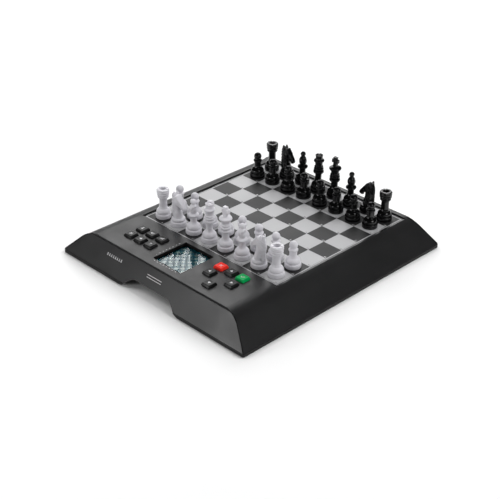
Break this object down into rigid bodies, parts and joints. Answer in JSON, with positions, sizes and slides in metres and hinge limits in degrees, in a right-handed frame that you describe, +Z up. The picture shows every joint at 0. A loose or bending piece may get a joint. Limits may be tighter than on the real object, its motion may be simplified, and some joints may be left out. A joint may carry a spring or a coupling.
{
  "type": "electronic chess computer",
  "caption": "Tabletop chess computer: low sloping casing with a recessed playing surface, square display, sprung keys and a set of lift-off chess men.",
  "frame": {"origin": "centre of the casing's footprint on the plane that the rubber feet rest on", "axes": "+X to the player's right, +Y from the player towards the back, +Z up"},
  "size_m": [0.283, 0.311, 0.082],
  "materials": {
    "casing_black": "fine satin texture",
    "board_silver": "silver printed sheet with dark squares, satin metallic",
    "foil_amber": "clear film",
    "display_glass": "clear gloss",
    "display_grey": "pale blue-grey liquid crystal cell",
    "board_green": "solder mask",
    "screw_steel": "zinc plated",
    "silicone_grey": "matt silicone",
    "speaker_metal": "pressed steel",
    "cell_jacket": "plain printed jacket",
    "contact_steel": "nickel plated",
    "socket_black": "moulded",
    "foot_rubber": "matt",
    "key_black": "satin with white symbols",
    "key_red": "satin with white symbol",
    "key_green": "satin with white symbol",
    "men_white": "semi-gloss",
    "men_black": "gloss"
  },
  "bodies": {
    "casing": {"bottom_housing": "casing_black", "recess_liner": "casing_black", "top_cover": "casing_black", "playing_surface": "board_silver", "sensor_foil": "foil_amber", "display_glass": "display_glass", "display_module": "display_grey", "main_circuit_board": "board_green", "screws": "screw_steel", "keypad_mat": "silicone_grey", "speaker": "speaker_metal", "batteries": "cell_jacket", "battery_contacts": "contact_steel", "power_jack": "socket_black", "rubber_feet": "foot_rubber"},
    "battery_door": {"battery_door": "casing_black"},
    "key_new_game": {"key_new_game": "key_black"},
    "key_sound": {"key_sound": "key_black"},
    "key_level": {"key_level": "key_black"},
    "key_position": {"key_position": "key_black"},
    "key_take_back": {"key_take_back": "key_black"},
    "key_hint": {"key_hint": "key_black"},
    "key_cancel": {"key_cancel": "key_red"},
    "key_up": {"key_up": "key_black"},
    "key_enter": {"key_enter": "key_green"},
    "key_left": {"key_left": "key_black"},
    "key_right": {"key_right": "key_black"},
    "key_down": {"key_down": "key_black"},
    "white_rook_a": {"white_rook_a": "men_white"},
    "white_knight_b": {"white_knight_b": "men_white"},
    "white_bishop_c": {"white_bishop_c": "men_white"},
    "white_queen": {"white_queen": "men_white"},
    "white_king": {"white_king": "men_white"},
    "white_bishop_f": {"white_bishop_f": "men_white"},
    "white_knight_g": {"white_knight_g": "men_white"},
    "white_rook_h": {"white_rook_h": "men_white"},
    "white_pawn_a": {"white_pawn_a": "men_white"},
    "white_pawn_b": {"white_pawn_b": "men_white"},
    "white_pawn_c": {"white_pawn_c": "men_white"},
    "white_pawn_d": {"white_pawn_d": "men_white"},
    "white_pawn_e": {"white_pawn_e": "men_white"},
    "white_pawn_f": {"white_pawn_f": "men_white"},
    "white_pawn_g": {"white_pawn_g": "men_white"},
    "white_pawn_h": {"white_pawn_h": "men_white"},
    "black_rook_a": {"black_rook_a": "men_black"},
    "black_knight_b": {"black_knight_b": "men_black"},
    "black_bishop_c": {"black_bishop_c": "men_black"},
    "black_queen": {"black_queen": "men_black"},
    "black_king": {"black_king": "men_black"},
    "black_bishop_f": {"black_bishop_f": "men_black"},
    "black_knight_g": {"black_knight_g": "men_black"},
    "black_rook_h": {"black_rook_h": "men_black"},
    "black_pawn_a": {"black_pawn_a": "men_black"},
    "black_pawn_b": {"black_pawn_b": "men_black"},
    "black_pawn_c": {"black_pawn_c": "men_black"},
    "black_pawn_d": {"black_pawn_d": "men_black"},
    "black_pawn_e": {"black_pawn_e": "men_black"},
    "black_pawn_f": {"black_pawn_f": "men_black"},
    "black_pawn_g": {"black_pawn_g": "men_black"},
    "black_pawn_h": {"black_pawn_h": "men_black"}
  },
  "joints": [
    {"name": "key_new_game_press", "type": "slide", "parent": "casing", "child": "key_new_game", "axis": [0, 0, -1], "range_m": [0, 0.001], "stiffness_N_per_m": 300, "springref_m": -0.0003},
    {"name": "key_sound_press", "type": "slide", "parent": "casing", "child": "key_sound", "axis": [0, 0, -1], "range_m": [0, 0.001], "stiffness_N_per_m": 300, "springref_m": -0.0003},
    {"name": "key_level_press", "type": "slide", "parent": "casing", "child": "key_level", "axis": [0, 0, -1], "range_m": [0, 0.001], "stiffness_N_per_m": 300, "springref_m": -0.0003},
    {"name": "key_position_press", "type": "slide", "parent": "casing", "child": "key_position", "axis": [0, 0, -1], "range_m": [0, 0.001], "stiffness_N_per_m": 300, "springref_m": -0.0003},
    {"name": "key_take_back_press", "type": "slide", "parent": "casing", "child": "key_take_back", "axis": [0, 0, -1], "range_m": [0, 0.001], "stiffness_N_per_m": 300, "springref_m": -0.0003},
    {"name": "key_hint_press", "type": "slide", "parent": "casing", "child": "key_hint", "axis": [0, 0, -1], "range_m": [0, 0.001], "stiffness_N_per_m": 300, "springref_m": -0.0003},
    {"name": "key_cancel_press", "type": "slide", "parent": "casing", "child": "key_cancel", "axis": [0, 0, -1], "range_m": [0, 0.001], "stiffness_N_per_m": 300, "springref_m": -0.0003},
    {"name": "key_up_press", "type": "slide", "parent": "casing", "child": "key_up", "axis": [0, 0, -1], "range_m": [0, 0.001], "stiffness_N_per_m": 300, "springref_m": -0.0003},
    {"name": "key_enter_press", "type": "slide", "parent": "casing", "child": "key_enter", "axis": [0, 0, -1], "range_m": [0, 0.001], "stiffness_N_per_m": 300, "springref_m": -0.0003},
    {"name": "key_left_press", "type": "slide", "parent": "casing", "child": "key_left", "axis": [0, 0, -1], "range_m": [0, 0.001], "stiffness_N_per_m": 300, "springref_m": -0.0003},
    {"name": "key_right_press", "type": "slide", "parent": "casing", "child": "key_right", "axis": [0, 0, -1], "range_m": [0, 0.001], "stiffness_N_per_m": 300, "springref_m": -0.0003},
    {"name": "key_down_press", "type": "slide", "parent": "casing", "child": "key_down", "axis": [0, 0, -1], "range_m": [0, 0.001], "stiffness_N_per_m": 300, "springref_m": -0.0003},
    {"name": "battery_door_slide", "type": "slide", "parent": "casing", "child": "battery_door", "axis": [0, 1, 0], "range_m": [0, 0.06]},
    {"name": "white_rook_a_lift", "type": "slide", "parent": "casing", "child": "white_rook_a", "axis": [0, 0, 1], "range_m": [0, 0.06]},
    {"name": "white_knight_b_lift", "type": "slide", "parent": "casing", "child": "white_knight_b", "axis": [0, 0, 1], "range_m": [0, 0.06]},
    {"name": "white_bishop_c_lift", "type": "slide", "parent": "casing", "child": "white_bishop_c", "axis": [0, 0, 1], "range_m": [0, 0.06]},
    {"name": "white_queen_lift", "type": "slide", "parent": "casing", "child": "white_queen", "axis": [0, 0, 1], "range_m": [0, 0.06]},
    {"name": "white_king_lift", "type": "slide", "parent": "casing", "child": "white_king", "axis": [0, 0, 1], "range_m": [0, 0.06]},
    {"name": "white_bishop_f_lift", "type": "slide", "parent": "casing", "child": "white_bishop_f", "axis": [0, 0, 1], "range_m": [0, 0.06]},
    {"name": "white_knight_g_lift", "type": "slide", "parent": "casing", "child": "white_knight_g", "axis": [0, 0, 1], "range_m": [0, 0.06]},
    {"name": "white_rook_h_lift", "type": "slide", "parent": "casing", "child": "white_rook_h", "axis": [0, 0, 1], "range_m": [0, 0.06]},
    {"name": "white_pawn_a_lift", "type": "slide", "parent": "casing", "child": "white_pawn_a", "axis": [0, 0, 1], "range_m": [0, 0.06]},
    {"name": "white_pawn_b_lift", "type": "slide", "parent": "casing", "child": "white_pawn_b", "axis": [0, 0, 1], "range_m": [0, 0.06]},
    {"name": "white_pawn_c_lift", "type": "slide", "parent": "casing", "child": "white_pawn_c", "axis": [0, 0, 1], "range_m": [0, 0.06]},
    {"name": "white_pawn_d_lift", "type": "slide", "parent": "casing", "child": "white_pawn_d", "axis": [0, 0, 1], "range_m": [0, 0.06]},
    {"name": "white_pawn_e_lift", "type": "slide", "parent": "casing", "child": "white_pawn_e", "axis": [0, 0, 1], "range_m": [0, 0.06]},
    {"name": "white_pawn_f_lift", "type": "slide", "parent": "casing", "child": "white_pawn_f", "axis": [0, 0, 1], "range_m": [0, 0.06]},
    {"name": "white_pawn_g_lift", "type": "slide", "parent": "casing", "child": "white_pawn_g", "axis": [0, 0, 1], "range_m": [0, 0.06]},
    {"name": "white_pawn_h_lift", "type": "slide", "parent": "casing", "child": "white_pawn_h", "axis": [0, 0, 1], "range_m": [0, 0.06]},
    {"name": "black_rook_a_lift", "type": "slide", "parent": "casing", "child": "black_rook_a", "axis": [0, 0, 1], "range_m": [0, 0.06]},
    {"name": "black_knight_b_lift", "type": "slide", "parent": "casing", "child": "black_knight_b", "axis": [0, 0, 1], "range_m": [0, 0.06]},
    {"name": "black_bishop_c_lift", "type": "slide", "parent": "casing", "child": "black_bishop_c", "axis": [0, 0, 1], "range_m": [0, 0.06]},
    {"name": "black_queen_lift", "type": "slide", "parent": "casing", "child": "black_queen", "axis": [0, 0, 1], "range_m": [0, 0.06]},
    {"name": "black_king_lift", "type": "slide", "parent": "casing", "child": "black_king", "axis": [0, 0, 1], "range_m": [0, 0.06]},
    {"name": "black_bishop_f_lift", "type": "slide", "parent": "casing", "child": "black_bishop_f", "axis": [0, 0, 1], "range_m": [0, 0.06]},
    {"name": "black_knight_g_lift", "type": "slide", "parent": "casing", "child": "black_knight_g", "axis": [0, 0, 1], "range_m": [0, 0.06]},
    {"name": "black_rook_h_lift", "type": "slide", "parent": "casing", "child": "black_rook_h", "axis": [0, 0, 1], "range_m": [0, 0.06]},
    {"name": "black_pawn_a_lift", "type": "slide", "parent": "casing", "child": "black_pawn_a", "axis": [0, 0, 1], "range_m": [0, 0.06]},
    {"name": "black_pawn_b_lift", "type": "slide", "parent": "casing", "child": "black_pawn_b", "axis": [0, 0, 1], "range_m": [0, 0.06]},
    {"name": "black_pawn_c_lift", "type": "slide", "parent": "casing", "child": "black_pawn_c", "axis": [0, 0, 1], "range_m": [0, 0.06]},
    {"name": "black_pawn_d_lift", "type": "slide", "parent": "casing", "child": "black_pawn_d", "axis": [0, 0, 1], "range_m": [0, 0.06]},
    {"name": "black_pawn_e_lift", "type": "slide", "parent": "casing", "child": "black_pawn_e", "axis": [0, 0, 1], "range_m": [0, 0.06]},
    {"name": "black_pawn_f_lift", "type": "slide", "parent": "casing", "child": "black_pawn_f", "axis": [0, 0, 1], "range_m": [0, 0.06]},
    {"name": "black_pawn_g_lift", "type": "slide", "parent": "casing", "child": "black_pawn_g", "axis": [0, 0, 1], "range_m": [0, 0.06]},
    {"name": "black_pawn_h_lift", "type": "slide", "parent": "casing", "child": "black_pawn_h", "axis": [0, 0, 1], "range_m": [0, 0.06]}
  ]
}
